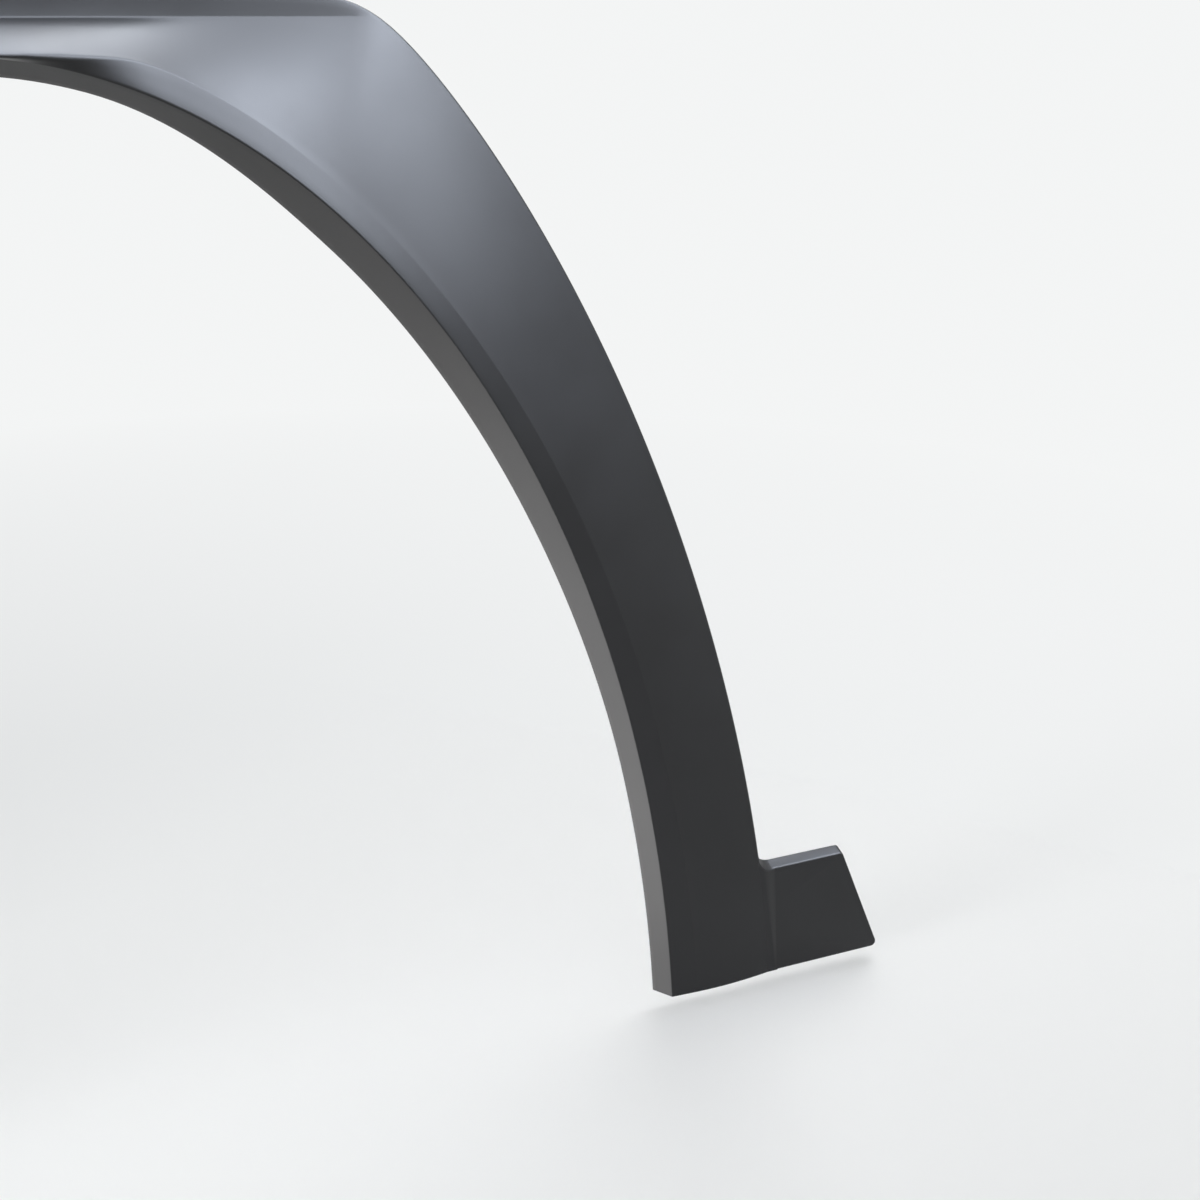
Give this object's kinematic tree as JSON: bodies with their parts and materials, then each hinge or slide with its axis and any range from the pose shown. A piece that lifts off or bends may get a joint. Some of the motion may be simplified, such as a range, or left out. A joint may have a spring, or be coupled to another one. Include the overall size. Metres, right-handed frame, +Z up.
{
  "type": "wheel arch trim",
  "caption": "Moulded wheel arch trim with an overhanging lip, wide shoulders, a bend line above the wheel and a foot tab, on push-in clips.",
  "frame": {"origin": "on the axis of the top clip's stud, where the stud leaves its flange at the body side", "axes": "+X along the vehicle towards the foot tab, +Y into the body side along the studs, +Z up"},
  "size_m": [0.9117, 0.059, 0.6038],
  "materials": {
    "trim_plastic": "satin, fine moulded grain",
    "clip_plastic": "plain moulded nylon"
  },
  "bodies": {
    "root": {"arch_moulding": "trim_plastic", "retaining_clip_1": "clip_plastic", "retaining_clip_2": "clip_plastic", "retaining_clip_3": "clip_plastic", "retaining_clip_4": "clip_plastic", "retaining_clip_5": "clip_plastic", "retaining_clip_6": "clip_plastic", "retaining_clip_7": "clip_plastic", "retaining_clip_8": "clip_plastic", "retaining_clip_9": "clip_plastic", "foot_clip": "clip_plastic"}
  },
  "joints": []
}
